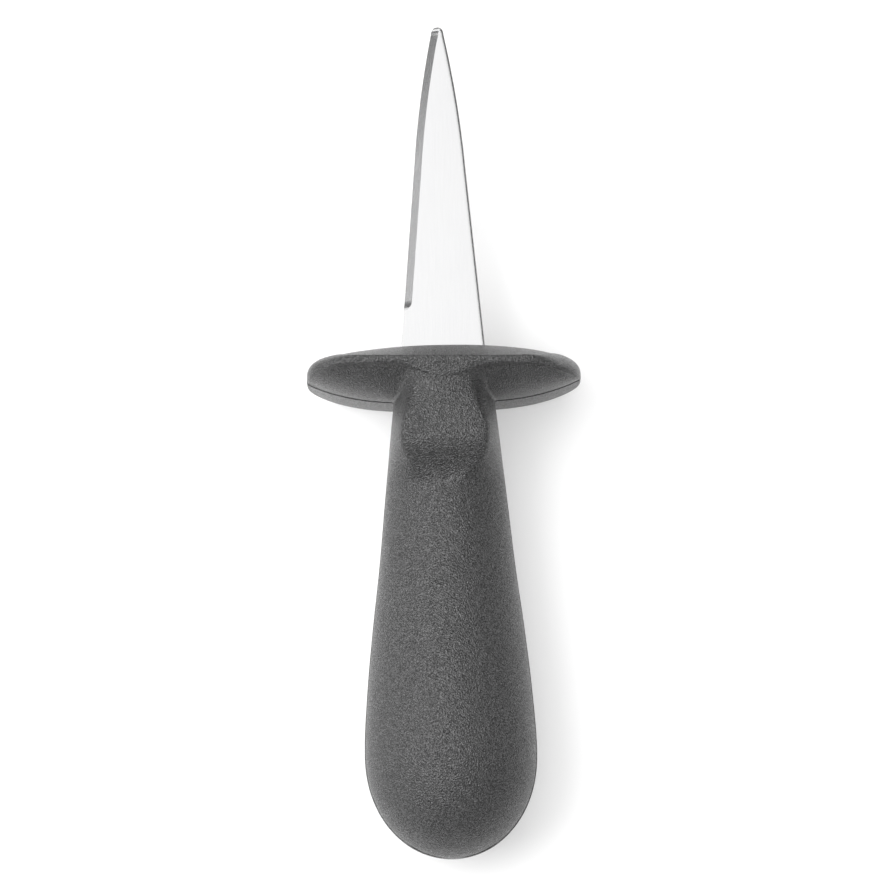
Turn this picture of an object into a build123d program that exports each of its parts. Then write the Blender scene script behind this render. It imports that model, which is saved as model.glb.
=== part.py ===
from build123d import *
import os

os.makedirs("parts", exist_ok=True)

# Oyster knife: a short flat blade in a two-shell handle with a wide guard.
# It lies on its far side: X across the guard, Y towards the blade's tip, Z up.
# The origin is on the table, under the middle of the knife.

# Whole knife, in millimetres
blade_reach = 59.6
handle_length = 95.4
guard_width = 50.5
guard_thickness = 10.7
bulb_width = 31.7

# Blade
blade_thickness = 2.0
blade_root_width = 15.4
blade_belly_width = 9.5
blade_belly_reach = 33.0
blade_fore_width = 6.8
blade_fore_reach = 45.5
blade_point_width = 2.4
blade_point_length = 1.5
bevel_width = 1.3
bevel_depth = 0.95
bevel_start = 8.0
bevel_runout = 2.0
tip_radius_room = 2.5

# Tang, hidden in the handle
root_gap = 0.3
shoulder_depth = 3.0
tang_thickness = 1.8
tang_width = 9.0
tang_length = 62.0
tang_end_radius = 2.0
peg_diameter = 4.0
peg_height = 5.0
first_peg_reach = 41.0
peg_spacing = 15.0
fit_clearance = 0.05

# Grip: widths across; the waist is placed from the front of the guard, the bulb and the heel from the end
neck_width = 17.4
waist_width = 25.1
waist_station = 41.4
bulb_setback = 19.4
heel_width = 24.3
heel_setback = 5.5
neck_flare = 5.0

# Guard
dome_drop = 4.3
side_drop = 3.2
rear_bow = 3.9
near_rim = 1.6
near_rim_bow = 0.6
far_rim = 5.6
far_rim_bow = 3.3

# Thumb pad
pad_width = 19.6
pad_height = 14.8
pad_top_reach = 5.0
pad_shoulder_reach = 19.0
pad_end_reach = 28.5
pad_side_draft = 8

# Walls
shell_wall = 3.0
solid_neck_length = 31.0
rib_thickness = 2.4
boss_diameter = 8.0
overrun = 5.0

# Levels of the guard, from the parting plane to a rim, as shares of their whole change
level_shares = (0, 0.35, 0.7, 0.92, 1)
reach_shares = (1, 0.985, 0.93, 0.82, 0.7)
dome_shares = (0, 0.12, 0.49, 0.85, 1)
bow_shares = (1, 0.88, 0.5, 0.15, 0.03)
near_back_shares = (0, 0.07, 0.41, 0.81, 1)
far_back_shares = (0, 0.12, 0.49, 0.85, 1)
front_corner_share = 0.7
rear_corner_share = 0.2
pad_profile_shares = ((0.62, 1.0), (0.84, 0.93), (1.0, 0.66))

# Places that follow from the sizes; the knife lies level, on its guard and its bulb
knife_length = blade_reach + handle_length
guard_front = knife_length / 2 - blade_reach
bulb_station = handle_length - bulb_setback
heel_station = handle_length - heel_setback
guard_height = bulb_width
guard_reach = guard_height / 2
rest_height = guard_height / 2
rim_drop_near = dome_drop + near_rim
rim_drop_far = dome_drop + far_rim

seat_origin = (0, guard_front, rest_height)
parting = Plane(origin=seat_origin)
side = Plane(origin=seat_origin, x_dir=(0, 1, 0), z_dir=(1, 0, 0))
long_axis = Axis(seat_origin, (0, 1, 0))
peg_places = [(0, -first_peg_reach), (0, -first_peg_reach - peg_spacing)]


def draw_grip_outline(inset):
    """Half outline of the grip beside its long axis, moved inwards by the inset."""
    front = (0, -guard_thickness / 2)
    neck = (neck_width / 2 - inset, -guard_thickness / 2)
    waist = (waist_width / 2 - inset, -waist_station)
    bulb = (bulb_width / 2 - inset, -bulb_station)
    heel = (heel_width / 2 - inset * heel_width / bulb_width, -heel_station + inset / 2)
    end = (0, -handle_length + inset)
    Line(front, neck)
    Spline(neck, waist, bulb, tangents=[(neck_flare, -waist_station), (0, -1)])
    Spline(bulb, heel, end, tangents=[(0, -1), (-1, 0)])
    Line(end, front)


def guard_levels(direction, rim_drop, rim_bow, back_shares):
    """Levels from the parting plane to a rim: plane, reach, front, front ends, back, back ends."""
    for level, reach, dome, bow, back in zip(
        level_shares, reach_shares, dome_shares, bow_shares, back_shares
    ):
        front = dome_drop * dome
        rear = guard_thickness + (rim_drop - guard_thickness) * back
        yield (
            parting.offset(direction * guard_reach * level),
            guard_width / 2 * reach,
            front,
            front + side_drop * bow,
            rear,
            rear - rear_bow - (rim_bow - rear_bow) * back,
        )


def draw_guard_outline(reach, front, front_ends, rear, rear_ends):
    """One level of the guard: a bowed front and back between straight ends."""
    ThreePointArc((-reach, -front_ends), (0, -front), (reach, -front_ends))
    Line((reach, -front_ends), (reach, -rear_ends))
    ThreePointArc((reach, -rear_ends), (0, -rear), (-reach, -rear_ends))
    Line((-reach, -rear_ends), (-reach, -front_ends))


def round_guard_ends(end_length):
    """Rounds the four corners of a level, the front ones more than the back ones."""
    fillet(vertices().sort_by(Axis.Y)[2:], radius=end_length * front_corner_share)
    fillet(vertices().sort_by(Axis.Y)[:2], radius=end_length * rear_corner_share)


# The grip's outer form, round about the long axis
with BuildPart() as grip_form:
    with BuildSketch(parting):
        with BuildLine():
            draw_grip_outline(0)
        make_face()
    revolve(axis=long_axis)

# The room inside the grip, with the ribs and bosses left standing in it
with BuildPart() as hollow_form:
    with BuildSketch(parting):
        with BuildLine():
            draw_grip_outline(shell_wall)
        make_face()
    revolve(axis=long_axis)
    with BuildSketch(parting.offset(-bulb_width / 2)):
        with Locations((0, (overrun - solid_neck_length) / 2)):
            Rectangle(bulb_width, solid_neck_length + overrun)
        with Locations(*peg_places):
            Rectangle(bulb_width, rib_thickness)
            Circle(boss_diameter / 2)
    extrude(amount=bulb_width, mode=Mode.SUBTRACT)

# The room for the blade's root and tang
with BuildPart() as tang_room:
    with BuildSketch(parting):
        with Locations((0, (overrun - shoulder_depth) / 2)):
            Rectangle(blade_root_width + 2 * fit_clearance, shoulder_depth + overrun)
        with Locations((0, -(tang_length + fit_clearance) / 2)):
            Rectangle(tang_width + 2 * fit_clearance, tang_length + fit_clearance)
    extrude(amount=tang_thickness / 2 + fit_clearance, both=True)

# The raised pad for the thumb
with BuildPart() as pad_form:
    with BuildSketch(side):
        with BuildLine():
            top_front = (-pad_top_reach, guard_reach)
            top_turn = (-pad_shoulder_reach / 2, pad_height)
            end_points = [(-pad_end_reach * along, pad_height * up) for along, up in pad_profile_shares]
            foot = (-pad_end_reach, 0)
            heel = (-pad_top_reach, 0)
            Spline(top_front, top_turn, *end_points, tangents=[(-1, -1), (-1, -1)])
            Line(end_points[-1], foot)
            Line(foot, heel)
            Line(heel, top_front)
        make_face()
    extrude(amount=guard_width / 2, both=True)
    with BuildSketch(parting):
        with BuildLine():
            arch_start = (pad_width / 2, -pad_shoulder_reach)
            arch_end = (-pad_width / 2, -pad_shoulder_reach)
            far_left = (-pad_width / 2, -pad_end_reach - overrun)
            far_right = (pad_width / 2, -pad_end_reach - overrun)
            EllipticalCenterArc(
                (0, -pad_shoulder_reach), pad_width / 2, pad_shoulder_reach - pad_top_reach, 0, arc_size=180
            )
            Polyline(arch_end, far_left, far_right, arch_start)
        make_face()
    extrude(amount=guard_height, taper=pad_side_draft, mode=Mode.INTERSECT)

# Upper shell, on the thumb's side
with BuildPart() as thumb_side_shell:
    add(grip_form.part)
    split(bisect_by=parting, keep=Keep.TOP)
    for level in guard_levels(1, rim_drop_near, near_rim_bow, near_back_shares):
        with BuildSketch(level[0]):
            with BuildLine():
                draw_guard_outline(*level[1:])
            make_face()
            round_guard_ends(level[5] - level[3])
    loft()
    add(pad_form.part)
    add(hollow_form.part, mode=Mode.SUBTRACT)
    add(tang_room.part, mode=Mode.SUBTRACT)
    with BuildSketch(parting.offset(tang_thickness / 2 + fit_clearance)):
        with Locations(*peg_places):
            Circle(peg_diameter / 2)
    extrude(amount=-tang_thickness / 2 - fit_clearance - peg_height)
thumb_side_shell.part.label = "thumb_side_shell"

# Lower shell, on the far side
with BuildPart() as far_side_shell:
    add(grip_form.part)
    split(bisect_by=parting, keep=Keep.BOTTOM)
    for level in guard_levels(-1, rim_drop_far, far_rim_bow, far_back_shares):
        with BuildSketch(level[0]):
            with BuildLine():
                draw_guard_outline(*level[1:])
            make_face()
            round_guard_ends(level[5] - level[3])
    loft()
    add(hollow_form.part, mode=Mode.SUBTRACT)
    add(tang_room.part, mode=Mode.SUBTRACT)
    with BuildSketch(parting):
        with Locations(*peg_places):
            Circle(peg_diameter / 2 + fit_clearance)
    extrude(amount=-peg_height - fit_clearance, mode=Mode.SUBTRACT)
far_side_shell.part.label = "far_side_shell"

# One side of the blade, from the guard to its point
belly = (blade_belly_width / 2, blade_belly_reach)
fore = (blade_fore_width / 2, blade_fore_reach)
point = (blade_point_width / 2, blade_reach - blade_point_length)
root = (blade_root_width / 2, 0)
shoulder = (blade_root_width / 2, -shoulder_depth)
tang_top = (tang_width / 2, -shoulder_depth)
tang_end = (tang_width / 2, -tang_length)


def on_left(place):
    """The same place on the other side of the long axis."""
    return (-place[0], place[1])


def draw_bevel_room(inset):
    """Room outside the cutting edge, drawn inwards by the inset."""
    start = (-root[0] + (root[0] - belly[0]) * bevel_start / blade_belly_reach + inset, bevel_start)
    belly_place = (-belly[0] + inset, belly[1])
    fore_place = (-fore[0] + inset, fore[1])
    point_place = (-point[0] + inset, point[1])
    top = (-point[0] + inset + tip_radius_room, blade_reach + overrun)
    outer_top = (-blade_root_width, blade_reach + overrun)
    outer_end = (-blade_root_width, bevel_start - bevel_runout * blade_root_width / bevel_width / 2)
    Spline(start, belly_place, fore_place, point_place)
    Polyline(point_place, top, outer_top, outer_end, start)


with BuildPart() as blade:
    with BuildSketch(parting):
        with BuildLine():
            ThreePointArc(point, (0, blade_reach), on_left(point))
            ThreePointArc(on_left(point), on_left(fore), on_left(belly))
            Polyline(on_left(belly), on_left(root), on_left(shoulder), on_left(tang_top), on_left(tang_end))
            Line(on_left(tang_end), tang_end)
            Polyline(tang_end, tang_top, shoulder, root, belly)
            ThreePointArc(belly, fore, point)
        make_face()
        fillet(vertices().sort_by(Axis.Y)[:2], radius=tang_end_radius)
        with Locations(*peg_places):
            Circle(peg_diameter / 2 + fit_clearance, mode=Mode.SUBTRACT)
    extrude(amount=blade_thickness / 2, both=True)
    for turn in (1, -1):
        with BuildSketch(parting.offset(turn * blade_thickness / 2)):
            with BuildLine():
                draw_bevel_room(bevel_width)
            make_face()
        with BuildSketch(parting.offset(turn * (blade_thickness / 2 - bevel_depth))):
            with BuildLine():
                draw_bevel_room(0)
            make_face()
        loft(ruled=True, mode=Mode.SUBTRACT)
        with BuildSketch(parting.offset(turn * tang_thickness / 2)):
            with Locations((0, (root_gap - tang_length - overrun) / 2)):
                Rectangle(blade_root_width + overrun, root_gap + tang_length + overrun)
        extrude(amount=turn * overrun, mode=Mode.SUBTRACT)
blade.part.label = "blade"

for piece in (blade, thumb_side_shell, far_side_shell):
    export_step(piece.part, "parts/" + piece.part.label + ".step")
    print(piece.part.label, round(piece.part.volume), "cubic millimetres")
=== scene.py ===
import math
import bmesh
import bpy
import numpy as np
from mathutils import Matrix, Vector


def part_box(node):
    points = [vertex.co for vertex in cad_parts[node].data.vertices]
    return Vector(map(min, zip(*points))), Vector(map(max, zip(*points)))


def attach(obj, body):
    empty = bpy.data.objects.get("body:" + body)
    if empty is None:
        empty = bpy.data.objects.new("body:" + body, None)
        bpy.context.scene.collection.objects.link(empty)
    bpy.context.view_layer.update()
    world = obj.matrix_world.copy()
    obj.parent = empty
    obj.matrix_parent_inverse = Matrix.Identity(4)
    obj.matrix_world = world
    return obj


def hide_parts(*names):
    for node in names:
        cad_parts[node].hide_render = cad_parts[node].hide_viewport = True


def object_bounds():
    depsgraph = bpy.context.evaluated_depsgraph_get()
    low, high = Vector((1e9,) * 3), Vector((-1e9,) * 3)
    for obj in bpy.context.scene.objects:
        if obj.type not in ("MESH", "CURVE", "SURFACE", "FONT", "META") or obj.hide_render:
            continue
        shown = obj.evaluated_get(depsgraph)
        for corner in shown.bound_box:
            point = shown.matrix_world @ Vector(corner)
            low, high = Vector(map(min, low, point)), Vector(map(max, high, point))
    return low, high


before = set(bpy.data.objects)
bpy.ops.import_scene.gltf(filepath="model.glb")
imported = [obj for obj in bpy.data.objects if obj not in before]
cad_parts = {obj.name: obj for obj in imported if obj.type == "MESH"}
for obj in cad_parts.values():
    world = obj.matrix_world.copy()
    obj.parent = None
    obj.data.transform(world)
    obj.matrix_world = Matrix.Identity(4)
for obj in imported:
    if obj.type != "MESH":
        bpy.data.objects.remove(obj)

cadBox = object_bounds()
cadLow, cadHigh = cadBox
mm = 0.001
print("frame loaded, box", [round(high - low, 4) for low, high in zip(cadLow, cadHigh)])

# Places shared by every piece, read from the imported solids
bladeLow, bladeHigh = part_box("blade")
shellLow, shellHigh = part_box("far_side_shell")
place = {
    "guardFront": shellHigh[1] / mm,      # front of the guard along Y, mm
    "axisHeight": shellHigh[2] / mm,      # height of the parting plane, mm
    "guardHalf": shellHigh[0] / mm,       # half width of the guard, mm
    "guardRise": (shellHigh[2] - shellLow[2]) / mm,
    "handleLength": (shellHigh[1] - shellLow[1]) / mm,
    "bladeReach": (bladeHigh[1] - shellHigh[1]) / mm,
    "tangLength": (shellHigh[1] - bladeLow[1]) / mm,
}


# Shader helpers

# A node's output that takes part in sums, written as ordinary arithmetic.
class Socket:

    def __init__(self, tree, output):
        self.tree = tree
        self.output = output

    def combine(self, operation, first, second=None):
        node = self.tree.nodes.new("ShaderNodeMath")
        node.operation = operation
        for index, value in enumerate((first, second)):
            if isinstance(value, Socket):
                self.tree.links.new(value.output, node.inputs[index])
            elif value is not None:
                node.inputs[index].default_value = value
        return Socket(self.tree, node.outputs[0])

    def __add__(self, other):
        return self.combine("ADD", self, other)

    def __radd__(self, other):
        return self.combine("ADD", other, self)

    def __sub__(self, other):
        return self.combine("SUBTRACT", self, other)

    def __rsub__(self, other):
        return self.combine("SUBTRACT", other, self)

    def __mul__(self, other):
        return self.combine("MULTIPLY", self, other)

    def __rmul__(self, other):
        return self.combine("MULTIPLY", other, self)

    def clamp(self):
        return self.combine("MINIMUM", self.combine("MAXIMUM", self, 0.0), 1.0)


# One material and its node tree.
class Finish:

    def __init__(self, name):
        self.material = bpy.data.materials.new(name)
        self.material.use_nodes = True
        self.tree = self.material.node_tree
        self.shader = self.tree.nodes["Principled BSDF"]
        self.coords = self.node("ShaderNodeTexCoord")

    def node(self, kind, settings=None, inputs=None):
        made = self.tree.nodes.new(kind)
        for key, value in (settings or {}).items():
            setattr(made, key, value)
        for key, value in (inputs or {}).items():
            self.feed(made.inputs[key], value)
        return made

    def feed(self, target, value):
        if isinstance(value, Socket):
            self.tree.links.new(value.output, target)
        elif isinstance(value, bpy.types.NodeSocket):
            self.tree.links.new(value, target)
        else:
            target.default_value = value

    # Object coordinates, scaled along each axis.
    def stretched(self, scale):
        made = self.node("ShaderNodeMapping", inputs={
            "Vector": self.coords.outputs["Object"], "Scale": scale})
        return made.outputs[0]

    def noise(self, scale, detail=2.0, roughness=0.5, vector=None):
        made = self.node("ShaderNodeTexNoise", inputs={
            "Vector": vector or self.coords.outputs["Object"],
            "Scale": scale, "Detail": detail, "Roughness": roughness})
        return Socket(self.tree, made.outputs[0])

    def cells(self, scale, vector):
        made = self.node("ShaderNodeTexVoronoi", inputs={"Vector": vector, "Scale": scale})
        return Socket(self.tree, made.outputs["Distance"])

    def tint(self, factor, low, high):
        made = self.node("ShaderNodeMix", settings={"data_type": "RGBA"})
        self.feed(made.inputs["Factor"], factor)
        made.inputs[6].default_value = (*low, 1)
        made.inputs[7].default_value = (*high, 1)
        return made.outputs[2]

    def bump(self, height, strength, distance, after=None):
        made = self.node("ShaderNodeBump", inputs={
            "Height": height, "Strength": strength, "Distance": distance})
        if after is not None:
            self.feed(made.inputs["Normal"], after)
        return made.outputs[0]


# Finishes

gripLook = {
    "dark": (0.007, 0.007, 0.0071),
    "light": (0.066, 0.066, 0.0668),
    "grainStretch": (1, 1, 0.85),    # the grain is a little longer up the sides
    "grainScale": 3500,              # pebbles of about 0.3 mm
    "grainDepth": 0.00018,
    "grainStrength": 0.8,
    "fineScale": 4000,
    "fineDetail": (1.0, 0.6),
    "fineDepth": 0.00017,
    "fineStrength": 0.6,
    "patchScale": 60,
    "patchShare": 0.3,               # what the slow patches add to the speckle
    "speckleGain": 6.5,              # contrast of the speckle
    "speckleBase": 0.3,
    "roughLow": 0.22,
    "roughHigh": 0.42,
    "ior": 1.52,
}


# Moulded black plastic. Fine noise, made steeper and clamped, is the speckle of tone and gloss;
# the relief is cells with the fine noise over them.
def makeGripFinish():
    look = gripLook
    finish = Finish("grip_grain")
    sockets = finish.shader.inputs
    grain = finish.stretched(look["grainStretch"])
    pebbles = finish.cells(look["grainScale"], grain)
    fine = finish.noise(look["fineScale"], *look["fineDetail"], grain)
    patches = finish.noise(look["patchScale"])
    speckle = (fine - 0.5) * look["speckleGain"] + look["speckleBase"] + patches * look["patchShare"]
    speckle = speckle.clamp()
    finish.feed(sockets["Base Color"], finish.tint(speckle, look["dark"], look["light"]))
    roughness = speckle * (look["roughLow"] - look["roughHigh"]) + look["roughHigh"]
    finish.feed(sockets["Roughness"], roughness)
    coarse = finish.bump(pebbles, look["grainStrength"], look["grainDepth"])
    relief = finish.bump(fine, look["fineStrength"], look["fineDepth"], after=coarse)
    finish.feed(sockets["Normal"], relief)
    sockets["IOR"].default_value = look["ior"]
    return finish.material


bladeLook = {
    "dark": (0.316, 0.316, 0.318),
    "light": (0.371, 0.371, 0.373),
    "streakScale": (9000, 160, 9000),
    "streakDetail": (3.0, 0.6),
    "streakDepth": 0.000004,
    "streakStrength": 0.5,
    "cloudScale": 90,
    "streakShare": 0.7,              # streaks and clouds together make the tone
    "cloudShare": 0.3,
    "roughLow": 0.18,
    "roughHigh": 0.26,
}


# Satin stainless steel: fine streaks along the blade in tone, gloss and relief.
def makeBladeFinish():
    look = bladeLook
    finish = Finish("blade_satin")
    sockets = finish.shader.inputs
    streaks = finish.noise(1.0, *look["streakDetail"], finish.stretched(look["streakScale"]))
    clouds = finish.noise(look["cloudScale"])
    tone = (streaks * look["streakShare"] + clouds * look["cloudShare"]).clamp()
    finish.feed(sockets["Base Color"], finish.tint(tone, look["dark"], look["light"]))
    roughness = streaks * (look["roughHigh"] - look["roughLow"]) + look["roughLow"]
    finish.feed(sockets["Roughness"], roughness)
    relief = finish.bump(streaks, look["streakStrength"], look["streakDepth"])
    finish.feed(sockets["Normal"], relief)
    sockets["Metallic"].default_value = 1.0
    return finish.material


edgeLook = {
    "dark": (0.51, 0.51, 0.513),
    "light": (0.59, 0.59, 0.593),
    "grindScale": (160, 9000, 9000),
    "grindDetail": (2.0, 0.6),
    "rough": 0.18,
    "roughMore": 0.12,
}


# Ground edge of the blade: marks across it in tone and gloss.
def makeEdgeFinish():
    look = edgeLook
    finish = Finish("blade_ground_edge")
    sockets = finish.shader.inputs
    marks = finish.noise(1.0, *look["grindDetail"], finish.stretched(look["grindScale"]))
    finish.feed(sockets["Base Color"], finish.tint(marks.clamp(), look["dark"], look["light"]))
    finish.feed(sockets["Roughness"], marks * look["roughMore"] + look["rough"])
    sockets["Metallic"].default_value = 1.0
    return finish.material


# Mesh helpers

meshTidy = {"join": 0.000002, "vanish": 0.000001}        # m
tiny = 1e-6              # keeps a division clear of nought


# Rises from 0 at the low value to 1 at the high one, level at both: 3 s^2 - 2 s^3.
def smoothStep(low, high, value):
    share = np.clip((value - low) / (high - low), 0, 1)
    return share ** 2 * (3 - 2 * share)


# Larger of two values, with a rounded change between them: half of a + b + sqrt((a - b)^2 + blend^2).
def smoothMax(first, second, blend):
    return 0.5 * (first + second + np.sqrt((first - second) ** 2 + blend ** 2))


# A mesh object from points in mm about the guard's front, and rows of four corners.
def meshFromArrays(name, points, faces, finish):
    placed = np.empty_like(points)
    placed[:, 0] = points[:, 0] * mm
    placed[:, 1] = (points[:, 1] + place["guardFront"]) * mm
    placed[:, 2] = (points[:, 2] + place["axisHeight"]) * mm
    mesh = bpy.data.meshes.new(name)
    mesh.from_pydata(placed.tolist(), [], faces.tolist())
    mesh.validate()
    mesh.shade_smooth()
    mesh.materials.append(finish)
    made = bpy.data.objects.new(name, mesh)
    bpy.context.scene.collection.objects.link(made)
    return made


# Corners of every quad of a grid, row by row, joined round its columns when it wraps.
def gridFaces(rows, columns, wrap=False):
    starts = columns if wrap else columns - 1
    row, column = np.meshgrid(np.arange(rows - 1), np.arange(starts), indexing="ij")
    after = (column + 1) % columns
    quads = np.stack([row * columns + column, row * columns + after,
                      (row + 1) * columns + after, (row + 1) * columns + column], axis=-1)
    return quads.reshape(-1, 4)


# Joins the points that meet at a pole and turns every face outwards.
# Edges that turn by more than the angle stay sharp.
def mergeAndFix(piece, sharpAngle):
    work = bmesh.new()
    work.from_mesh(piece.data)
    bmesh.ops.remove_doubles(work, verts=work.verts, dist=meshTidy["join"])
    bmesh.ops.dissolve_degenerate(work, edges=work.edges, dist=meshTidy["vanish"])
    bmesh.ops.recalc_face_normals(work, faces=work.faces)
    work.to_mesh(piece.data)
    work.free()
    piece.data.set_sharp_from_angle(angle=math.radians(sharpAngle))


# Handle shells

guard = {
    "outlinePower": 4.0,
    "domeDrop": 4.2,              # front of the rim behind the front of the dome
    "domePower": 1.75,
    "bowShare": 0.80,             # part of the drop that is reached at the ends, on the parting plane
    "bowPower": 2.3,
    "rearDepth": 10.65,           # back of the guard on the parting plane
    "rearBow": 3.9,
    "rearPower": 3.2,
    "rimThin": 0.85,              # thickness of the thumb side's rim near the ends
    "rimMore": 0.5,               # what it gains towards the middle
    "flare": 2.4,                 # what the pad's stem adds
    "flareWidth": 5.5,
    "nearPower": 3.0,             # how late the thumb side's wall leans to its rim
    "lipShare": 0.10,             # part of the height that the rim's lip takes
    "lipBlend": 0.06,
    "insetShare": 0.97,           # the lip follows an outline that closes a little past the ends
    "farRim": 5.6,                # thickness of the far side's rim
    "skew": 0.019,                # how far the thumb side's rim turns about the blade
    "endDrops": (2.2, 5.0),       # how far that rim falls back at its left and right ends
    "dropZone": (0.58, 1.08),     # shares of the half width between which it falls
    "dropPower": 1.5,
    "rimZone": (-12.0, -7.0),     # depths between which the fall and the skew fade in
    "endZone": (0.66, 0.96),      # shares of the half width between which the front corner grows
    "endReach": 5.5,              # how far in from the ends the front corner starts
    "endFall": 2.6,               # how far back it goes there
    "rimCorner": 0.5,             # front corner radius at the rims
    "frontShare": 0.7,            # most of the thickness that the front corner may take
    "backCorner": 0.5,
    "backMore": 0.1,              # what the pad's stem adds to the back corner
    "backShare": 0.25,            # most of the thickness that the back corner may take
    "stemFall": 2.2,              # how far back the rim slopes onto the pad's stem
    "sharpAngle": 50,             # degrees
}
joint = {
    "out": 0.5,                   # reach of the fillet on the guard's wall
    "outMore": 1.6,               # what it gains at the pad
    "back": 0.5,                  # reach of the fillet on the grip
    "backMore": 1.8,
    "padPower": 3,
    "wallShare": 0.8,             # most of the wall that the fillet may take
    "least": 0.1,                 # least height of the wall
    "rounds": 12,                 # steps that find where wall and grip meet
    "easeZone": (0.72, 0.96),     # sines of the angle between which the pad's join is eased
    "easeShare": 0.8,
    "easeTimes": 120,
    "easeBefore": 2,              # rows eased before the wall and after the fillet
    "easeAfter": 8,
}
grip = {
    "stations": (0, 13.4, 30.2, 41.4, 52.6, 63.8, 76.0),
    "radii": (8.15, 9.65, 11.40, 12.55, 13.95, 15.12, 15.85),
    "heelPower": 2.12,
    "heelRows": 0.72,         # share of the rows that lie in front of the heel
}
pad = {
    "halfWidth": 8.1,         # half width of the level top at its widest
    "top": 15.0,              # height of the level top above the axis
    "rise": 0.5,              # how much higher it meets the rim
    "riseReach": 5.0,
    "archTop": 9.5,           # where the level top begins, behind the guard's front
    "archLength": 9.4,
    "rollStart": 18.8,
    "end": 27.2,
    "foot": 0.65,             # how late the pad's sides narrow at its foot
    "widest": 0.93,           # most of the grip's radius that the level top may take
    "edge": 1.0,              # rounding of the level top's edge
}
counts = {"columns": 181, "front": 40, "corner": 12, "land": 6, "wall": 44, "fillet": 12, "grip": 150}
seam = {
    "depth": 0.55,
    "nearWidth": 1.1,         # the groove lies on the thumb side, up to this height
    "farWidth": 0.06,
    "blend": 0.12,
    "heights": (0.0, 0.06, 0.14, 0.58, 1.03, 1.17, 1.27, 1.52),      # of the first columns
    "spread": 9.0,            # radius at which the first columns take these heights by their angle
    "full": 8.0,              # radius from which they keep them
    "restStart": 0.19,        # angle of the next column
    "deepFrom": 3.0,          # radius from which the groove has its full depth
    "faceShare": 0.8,         # its depth on the guard's front and back
    "faceBlend": 1.5,
}


# Radius of the round grip at a distance behind the guard's front: a cubic spline through the stations,
# then a domed heel, R sqrt(1 - s^power).
def gripRadius(back):
    widest = grip["stations"][-1]
    length = place["handleLength"]
    knots = np.array(grip["stations"], float)
    values = np.array(grip["radii"], float)
    slopes = np.gradient(values, knots)
    slopes[-1] = 0
    inside = np.clip(back, knots[0], knots[-1])
    index = np.clip(np.searchsorted(knots, inside) - 1, 0, len(knots) - 2)
    step = knots[index + 1] - knots[index]
    along = (inside - knots[index]) / step
    body = ((1 + 2 * along) * (1 - along) ** 2 * values[index]
            + along * (1 - along) ** 2 * step * slopes[index]
            + along ** 2 * (3 - 2 * along) * values[index + 1]
            + along ** 2 * (along - 1) * step * slopes[index + 1])
    share = np.clip((back - widest) / (length - widest), 0, 1)
    dome = values[-1] * (1 - share ** grip["heelPower"]) ** 0.5
    return np.where(back > widest, dome, body)


# Radius of the grip in one direction. The thumb pad is a tall oval with its top cut level, tall enough
# that (level / plain)^2 + (top / tall)^2 = 1, and it sinks into the round grip at its rolled end.
def bodyRadius(angle, back, near):
    plain = gripRadius(back)
    if not near:
        return plain
    cosine = np.abs(np.cos(angle)) + tiny
    sine = np.abs(np.sin(angle)) + tiny
    fade = 1 - smoothStep(pad["rollStart"], pad["end"], back)
    rise = pad["rise"] * np.exp(-((back - guard["domeDrop"]) / pad["riseReach"]) ** 2)
    top = plain + (pad["top"] + rise - plain) * fade
    arch = np.clip((back - pad["archTop"]) / pad["archLength"], 0, 1)
    level = pad["halfWidth"] * np.sqrt(1 - (1 - arch) ** 2)
    tall = top / np.sqrt(1 - np.minimum(level / plain, pad["widest"]) ** 2)
    tall = plain + (tall - plain) * fade ** pad["foot"]
    oval = 1 / np.sqrt((cosine / plain) ** 2 + (sine / tall) ** 2)
    return -smoothMax(-oval, -top / sine, pad["edge"] * fade)


# Guard's domed front, a pillow that is level along each rim:
# depth = -drop (1 - (1 - (z / rise)^p) (1 - bow (x / half)^q)).
def frontDepth(x, z):
    across = 1 - np.abs(z / place["guardRise"]) ** guard["domePower"]
    along = 1 - guard["bowShare"] * (np.abs(x) / place["guardHalf"]) ** guard["bowPower"]
    return -guard["domeDrop"] * (1 - np.clip(across, 0, 1) * along)


# Height of the guard's rounded oblong outline at a distance from its middle: rise (1 - s^n)^(1/n).
def outlineRise(x):
    share = np.clip(np.abs(x) / place["guardHalf"], 0, 1) * guard["insetShare"]
    return place["guardRise"] * (1 - share ** guard["outlinePower"]) ** (1 / guard["outlinePower"])


# Guard's back: a bowed wall, rear - bow s^p, which goes over to a thin rim on the thumb's side as its
# height to a power, or to a thicker one on the far side as its height squared.
def backDepth(x, z, near):
    share = np.abs(x) / place["guardHalf"]
    rear = guard["rearDepth"] - guard["rearBow"] * share ** guard["rearPower"]
    if not near:
        lean = (np.abs(z) / place["guardRise"]) ** 2
        return -(rear + (guard["domeDrop"] + guard["farRim"] - guard["rearDepth"]) * lean)
    level = np.abs(z) / outlineRise(x) / (1 - guard["lipShare"])
    lean = -smoothMax(-level ** guard["nearPower"], -1.0, guard["lipBlend"])
    rim = guard["rimThin"] + guard["rimMore"] * (1 - share ** 2)
    rim = rim + guard["flare"] * np.exp(-(x / guard["flareWidth"]) ** 2)
    return -(rear + (guard["domeDrop"] + rim - rear) * lean)


# Moves rows towards the mean of their two neighbours, as far as each column's weight says.
def ease(values, weight, first, last):
    for _ in range(joint["easeTimes"]):
        around = 0.5 * (values[first - 1:last - 1] + values[first + 1:last + 1])
        values[first:last] += joint["easeShare"] * weight * (around - values[first:last])


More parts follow.
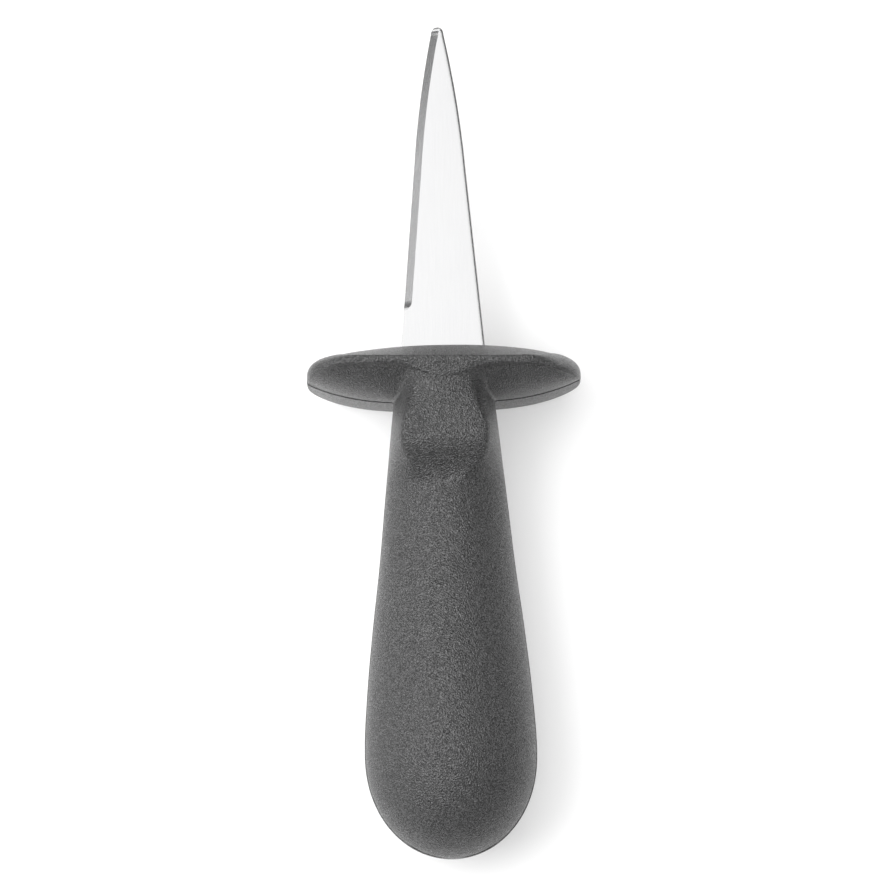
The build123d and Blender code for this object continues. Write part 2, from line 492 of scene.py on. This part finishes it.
# One shell's outside: a profile carried round half a turn, from the dome's middle to the heel. Its rows
# are the dome, the front corner, the rim, the back corner, the wall, the fillet and the grip.
def shellPoints(near):
    side = 1 if near else -1
    heights = np.array(seam["heights"])
    fine = heights / seam["spread"]
    first = seam["restStart"]
    middle = np.linspace(first, math.pi - first, counts["columns"] - 2 * len(fine))
    angle = np.concatenate([fine, middle, math.pi - fine[::-1]])
    cosine, sine = np.cos(angle), np.sin(angle) * side
    power = guard["outlinePower"]
    rim = ((np.abs(cosine) / place["guardHalf"]) ** power
           + (np.abs(sine) / place["guardRise"]) ** power) ** (-1 / power)
    toEnd = np.abs(cosine) * rim / place["guardHalf"]
    endShare = smoothStep(*guard["endZone"], toEnd)
    frontEdge = frontDepth(rim * cosine, rim * sine)
    backEdge = backDepth(rim * cosine, rim * sine, near)
    thickness = frontEdge - backEdge
    frontRound = guard["rimCorner"] + (guard["endReach"] - guard["rimCorner"]) * endShare
    frontFall = guard["rimCorner"] + (guard["endFall"] - guard["rimCorner"]) * endShare
    frontFall = np.minimum(frontFall, thickness * guard["frontShare"])
    stem = np.exp(-(cosine * rim / guard["flareWidth"]) ** 2) if near else np.zeros_like(angle)
    backRound = np.minimum(guard["backCorner"] + guard["backMore"] * stem, thickness * guard["backShare"])
    backFall = backRound + guard["stemFall"] * stem

    def column(values):
        return np.asarray(values)[:, None]

    rows = []
    outward = column(np.linspace(0, 1, counts["front"], endpoint=False))
    radius = outward * (rim - frontRound)
    rows.append((radius, frontDepth(radius * cosine, radius * sine)))

    turn = column(np.linspace(0, math.pi / 2, counts["corner"], endpoint=False))
    innerFront = frontDepth((rim - frontRound) * cosine, (rim - frontRound) * sine)
    sideTop = frontEdge - frontFall
    rows.append((rim - frontRound * (1 - np.sin(turn)),
                 sideTop + (innerFront - sideTop) * np.cos(turn)))

    along = column(np.linspace(0, 1, counts["land"], endpoint=False))
    rows.append((rim + 0 * along, sideTop + (backEdge + backFall - sideTop) * along))

    wallStart = rim - backRound
    wallDepth = backDepth(wallStart * cosine, wallStart * sine, near)
    even = turn / (math.pi / 2)
    drop = (1 - np.cos(turn)) * (1 - stem) + smoothStep(0, 1, even) * stem
    reach = np.sin(turn) * (1 - stem) + even * stem
    rows.append((rim - backRound * drop,
                 backEdge + backFall + (wallDepth - backEdge - backFall) * reach))

    neck = bodyRadius(angle, np.full_like(angle, guard["rearDepth"]), near)
    for _ in range(joint["rounds"]):
        joinDepth = backDepth(neck * cosine, neck * sine, near)
        neck = bodyRadius(angle, -joinDepth, near)
    neck = np.minimum(neck, wallStart - joint["least"])
    joinDepth = backDepth(neck * cosine, neck * sine, near)
    upward = np.clip(np.sin(angle), 0, 1) ** joint["padPower"] if near else np.zeros_like(angle)
    filletOut = joint["out"] + joint["outMore"] * upward
    filletOut = np.minimum(filletOut, (wallStart - neck) * joint["wallShare"])
    filletBack = joint["back"] + joint["backMore"] * upward

    along = column(np.linspace(0, 1, counts["wall"], endpoint=False))
    radius = wallStart + (neck + filletOut - wallStart) * along
    rows.append((radius, backDepth(radius * cosine, radius * sine, near)))

    outRadius = neck + filletOut
    outDepth = backDepth(outRadius * cosine, outRadius * sine, near)
    endDepth = joinDepth - filletBack
    endRadius = bodyRadius(angle, -endDepth, near)
    bend = column(np.linspace(0, 1, counts["fillet"], endpoint=False))
    rows.append(((1 - bend) ** 2 * outRadius + 2 * bend * (1 - bend) * neck + bend ** 2 * endRadius,
                 (1 - bend) ** 2 * outDepth + 2 * bend * (1 - bend) * joinDepth + bend ** 2 * endDepth))

    length = place["handleLength"]
    along = column(np.linspace(0, 1, counts["grip"]))
    heelStart = grip["heelRows"]
    swing = np.clip((along - heelStart) / (1 - heelStart), 0, 1)
    straight = np.minimum(along / heelStart, 1)
    widest = grip["stations"][-1]
    depth = np.where(along <= heelStart,
                     -endDepth + (widest + endDepth) * straight,
                     widest + (length - widest) * np.sin(swing * math.pi / 2))
    rows.append((bodyRadius(angle + 0 * along, depth, near), -depth))

    radius = np.concatenate([part[0] for part in rows])
    depth = np.concatenate([part[1] + 0 * part[0] for part in rows])
    x = radius * cosine
    z = radius * sine
    level = np.clip(radius[:, :1] / seam["full"], 0, 1) * heights * side
    z[:, :len(heights)] = level
    z[:, -len(heights):] = level[:, ::-1]

    width = seam["nearWidth"] if near else seam["farWidth"]
    blend = seam["blend"] / 2
    sink = seam["depth"] * (1 - smoothStep(width - blend, width + blend, np.abs(z)))
    drawn = np.clip(radius / seam["deepFrom"], 0, 1) * sink
    scale = 1 - drawn / np.maximum(radius, 1.0)
    ahead = np.ones(counts["front"] + counts["corner"])
    behind = -np.ones(len(radius) - len(ahead) - counts["land"])
    facing = np.concatenate([ahead, np.linspace(1, -1, counts["land"]), behind])[:, None]
    inGuard = np.clip((depth + guard["rearDepth"] + seam["faceBlend"]) / seam["faceBlend"], 0, 1)
    depth = depth - facing * drawn * seam["faceShare"] * inGuard
    points = np.stack([x * scale, depth, z], axis=-1)

    if near:
        power = guard["dropPower"]
        onRim = np.clip(z / place["guardRise"], 0, 1) ** power * smoothStep(*guard["rimZone"], depth)
        fall = np.where(x < 0, *guard["endDrops"])
        fall = fall * smoothStep(*guard["dropZone"], np.abs(x) / place["guardHalf"]) ** power
        points[:, :, 1] -= (fall + guard["skew"] * x) * onRim
        joinStart = counts["front"] + counts["corner"] + counts["land"] - joint["easeBefore"]
        joinRows = counts["corner"] + counts["wall"] + counts["fillet"] + joint["easeAfter"]
        middle = smoothStep(*joint["easeZone"], np.sin(angle))
        ease(points, middle[:, None], joinStart, joinStart + joinRows)
    return points


# Closes a shell's outside with its flat mating face on the parting plane.
def makeShell(name, node, near, finish):
    points = shellPoints(near)
    rowCount, columnCount = points.shape[:2]
    faces = gridFaces(rowCount, columnCount)
    start = np.arange(rowCount - 1) * columnCount
    after = start + columnCount
    mating = np.stack([start, after, after + columnCount - 1, start + columnCount - 1], axis=-1)
    faces = np.concatenate([faces, mating])
    if near:
        faces = faces[:, ::-1]
    shell = meshFromArrays(name, points.reshape(-1, 3), faces, finish)
    mergeAndFix(shell, guard["sharpAngle"])
    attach(shell, "root")
    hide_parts(node)
    return shell


# Blade

blade = {
    "rootHalf": 7.7,          # half widths, and how far in front of the guard they lie
    "bellyHalf": 4.75, "bellyAt": 33.0,
    "foreHalf": 3.4, "foreAt": 45.5,
    "pointHalf": 1.2, "pointLength": 1.5,
    "thick": 2.0,
    "bevelWidth": 1.35,
    "bevelDepth": 0.95,
    "bevelMost": 1.25,        # most of the half width that the ground edge may take
    "bevelStart": 8.4,        # where the ground edge has its full width, in front of the guard
    "runout": 1.7,
    "groundTo": 0.7,          # the ground edge passes over the tip as far as here
    "groundTilt": 0.985,      # its faces lean, so that Z of their normals is below this
    "lipShare": 0.94,         # height of the left edge
    "lipLeast": 0.03,
    "crease": (0.02, 0.12),   # corners just inside the ground edge
    "plainBelow": 0.05,       # ground width below which the left edge is rounded instead
    "edgeRound": 0.30,
    "roundMost": 0.4,         # most of the half width that the rounding may take
    # Corners of the rounded right edge, in and down, as shares of its rounding
    "edgeSteps": ((3.0, 0.0), (1.2, 0.15), (0.35, 0.45), (0.0, 1.3)),
    "tipRound": 0.5,
    "tipThin": 0.7,
    "leastHalf": 0.02,
    "tangHalf": 4.5,
    "shoulder": 3.0,
    "step": 0.01,             # length of the shoulder's slope
    "endGap": 0.001,
    "sharpAngle": 18,         # degrees
}
bladeCounts = {"root": 24, "runout": 12, "edge": 120, "point": 22}


# Half width along the blade: straight to the belly, then a parabola through three half widths,
# then a round point, half sqrt(1 - s^2).
def bladeHalf(reach):
    tip = place["bladeReach"]
    pointAt = tip - blade["pointLength"]
    straight = blade["rootHalf"] + (blade["bellyHalf"] - blade["rootHalf"]) * reach / blade["bellyAt"]
    knots = np.array([blade["bellyAt"], blade["foreAt"], pointAt])
    halves = np.array([blade["bellyHalf"], blade["foreHalf"], blade["pointHalf"]])
    curved = 0
    for i in range(3):
        shares = [(reach - knots[j]) / (knots[i] - knots[j]) for j in range(3) if j != i]
        curved = curved + halves[i] * np.prod(shares, axis=0)
    share = np.clip((reach - pointAt) / blade["pointLength"], 0, 1)
    rounded = blade["pointHalf"] * np.sqrt(np.clip(1 - share ** 2, 0, 1))
    half = np.where(reach < blade["bellyAt"], straight, np.where(reach < pointAt, curved, rounded))
    return np.where(reach < -blade["shoulder"], blade["tangHalf"], half)


# Width of the ground edge, which runs out in a quarter round near the guard: width sqrt(1 - (1 - s)^2).
def bevelWidth(reach):
    share = np.clip((reach - blade["bevelStart"] + blade["runout"]) / blade["runout"], 0, 1)
    return blade["bevelWidth"] * np.sqrt(1 - (1 - share) ** 2)


# Cross sections stacked from the tang's end to the point. Each is a ring of corners: the left edge,
# two just inside the ground edge, the rounded right edge, and the same back along the far face.
def makeBlade(faceFinish, edgeFinish):
    tip = place["bladeReach"]
    quarter = math.pi / 2
    body = np.linspace(-blade["shoulder"], blade["bevelStart"] - blade["runout"], bladeCounts["root"])
    swing = np.linspace(0, quarter, bladeCounts["runout"])
    runout = blade["bevelStart"] - blade["runout"] * np.cos(swing)
    along = np.linspace(blade["bevelStart"], tip - blade["pointLength"], bladeCounts["edge"])
    swing = np.linspace(0, quarter, bladeCounts["point"])
    point = tip - blade["pointLength"] * (1 - np.sin(swing))
    tang = [-place["tangLength"], -blade["shoulder"] - blade["step"]]
    reach = np.concatenate([tang, body, runout[1:], along[1:], point[1:]])
    reach[-1] = tip - blade["endGap"]

    half = np.maximum(bladeHalf(reach), blade["leastHalf"])
    left, right = -half, half
    toTip = np.clip((reach - tip + blade["tipRound"]) / blade["tipRound"], 0, 1)
    thick = blade["thick"] / 2 * (1 - blade["tipThin"] * (1 - np.sqrt(1 - toTip ** 2)))
    ground = np.minimum(bevelWidth(reach), half * blade["bevelMost"])
    depth = blade["bevelDepth"] * np.clip(ground / blade["bevelWidth"], 0, 1)
    soft = np.minimum(blade["edgeRound"], half * blade["roundMost"])
    plain = thick - soft * (ground < blade["plainBelow"])
    lip = np.minimum(np.maximum(thick - depth, blade["lipLeast"]), plain)

    upper = [(left, lip * blade["lipShare"])]
    upper += [(left + ground + inside, thick) for inside in blade["crease"]]
    upper += [(right - soft * inward, thick - soft * down) for inward, down in blade["edgeSteps"]]
    ring = upper + [(x, -z) for x, z in reversed(upper)]
    count = len(ring)
    corners = [np.stack([np.clip(x, left, right), reach, z], axis=-1) for x, z in ring]
    points = np.stack(corners, axis=1)
    crease = len(blade["crease"])        # where the last corner of the ground edge is in the ring
    nextX = np.maximum(points[:, crease + 1, 0], points[:, crease, 0])       # corners never cross
    points[:, crease + 1, 0] = nextX
    points[:, count - 2 - crease, 0] = nextX
    faces = gridFaces(len(reach), count, wrap=True)
    last = (len(reach) - 1) * count
    corner = np.arange(count // 2 - 1)
    start = np.stack([corner, count - 1 - corner, count - 2 - corner, corner + 1], axis=-1)
    end = last + start[:, ::-1]
    faces = np.concatenate([faces, start, end])
    made = meshFromArrays("blade_ground", points.reshape(-1, 3), faces, faceFinish)
    made.data.materials.append(edgeFinish)
    mergeAndFix(made, blade["sharpAngle"])
    sides = made.data.polygons
    normals = np.empty((len(sides), 3), np.float32)
    sides.foreach_get("normal", normals.ravel())
    centers = np.empty((len(sides), 3), np.float32)
    sides.foreach_get("center", centers.ravel())
    leaning = np.abs(normals[:, 2]) < blade["groundTilt"]
    onEdge = leaning & (centers[:, 0] < blade["groundTo"] * mm)
    sides.foreach_set("material_index", onEdge.astype(np.int32))
    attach(made, "root")
    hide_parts("blade")
    return made


# Camera, light and floor

view = {
    "tilt": 8.7,              # degrees from straight above, towards the heel
    "roll": 1.1,
    "distance": 4.0,
    "frameWidth": 0.1638,     # width of the picture at the parting plane, m
    "aimX": -0.0001,
    "aimY": -0.0005,
    "sensor": 36,
    "farthest": 20,
}


# Camera above the knife, leaning towards the heel, with the tip at the top of the picture.
def makeCamera():
    tilt = math.radians(view["tilt"])
    data = bpy.data.cameras.new("camera")
    camera = bpy.data.objects.new("camera", data)
    bpy.context.scene.collection.objects.link(camera)
    aim = Vector((view["aimX"], view["aimY"], place["axisHeight"] * mm))
    away = Vector((0, -math.sin(tilt), math.cos(tilt)))
    up = Vector((0, math.cos(tilt), math.sin(tilt)))
    right = up.cross(away)
    turn = Matrix((right, up, away)).transposed()
    roll = Matrix.Rotation(math.radians(-view["roll"]), 3, "Z")
    camera.matrix_world = Matrix.Translation(aim + away * view["distance"]) @ (turn @ roll).to_4x4()
    data.sensor_width = view["sensor"]
    data.lens = view["sensor"] * view["distance"] / view["frameWidth"]
    data.clip_end = view["farthest"]
    bpy.context.scene.camera = camera
    bpy.context.scene.view_settings.view_transform = "Standard"


light = {
    "keyPower": 10.8,
    "keySize": (1.0, 1.0),
    "keyPlace": (-0.64, 0.04, 0.76),
    "topPower": 9.8,
    "topSize": (1.1, 1.4),
    "topPlace": (0.0, -0.08, 1.0),
    "backPower": 2.8,
    "backSize": (1.5, 0.8),
    "backPlace": (0.0, 0.85, 0.85),
    "skyLevel": 0.14,
    "floorHalf": 1.5,
    "floorTone": 0.66,
    "floorRough": 0.9,
    "floorGlow": 0.34,
}


# An oval soft lamp that faces the knife.
def makeLamp(name):
    data = bpy.data.lights.new(name, "AREA")
    data.shape = "ELLIPSE"
    data.size, data.size_y = light[name + "Size"]
    data.energy = light[name + "Power"]
    lamp = bpy.data.objects.new(name, data)
    bpy.context.scene.collection.objects.link(lamp)
    spot = Vector(light[name + "Place"])
    turn = spot.to_track_quat("Z", "Y").to_matrix().to_4x4()
    lamp.matrix_world = Matrix.Translation(spot) @ turn


# An even white surround.
def makeSky():
    world = bpy.data.worlds.new("surround")
    bpy.context.scene.world = world
    world.use_nodes = True
    background = world.node_tree.nodes["Background"]
    background.inputs["Color"].default_value = (1, 1, 1, 1)
    background.inputs["Strength"].default_value = light["skyLevel"]


# A wide pale floor that the knife lies on. It glows a little, so that shadows stay pale.
def makeFloor():
    half = light["floorHalf"]
    corners = [(-half, -half, 0), (half, -half, 0), (half, half, 0), (-half, half, 0)]
    mesh = bpy.data.meshes.new("floor")
    mesh.from_pydata(corners, [], [(0, 1, 2, 3)])
    floor = bpy.data.objects.new("floor", mesh)
    bpy.context.scene.collection.objects.link(floor)
    finish = Finish("floor_white")
    sockets = finish.shader.inputs
    tone = light["floorTone"]
    sockets["Base Color"].default_value = (tone, tone, tone, 1)
    sockets["Roughness"].default_value = light["floorRough"]
    sockets["Emission Color"].default_value = (1, 1, 1, 1)
    sockets["Emission Strength"].default_value = light["floorGlow"]
    mesh.materials.append(finish.material)


makeCamera()
makeLamp("key")
makeLamp("top")
makeLamp("back")
makeSky()
makeFloor()
print("camera, light and floor made")

gripFinish = makeGripFinish()
bladeFinish = makeBladeFinish()
makeShell("thumb_side_grip", "thumb_side_shell", True, gripFinish)
makeShell("far_side_grip", "far_side_shell", False, gripFinish)
print("handle shells made")

makeBlade(bladeFinish, makeEdgeFinish())
print("blade made")
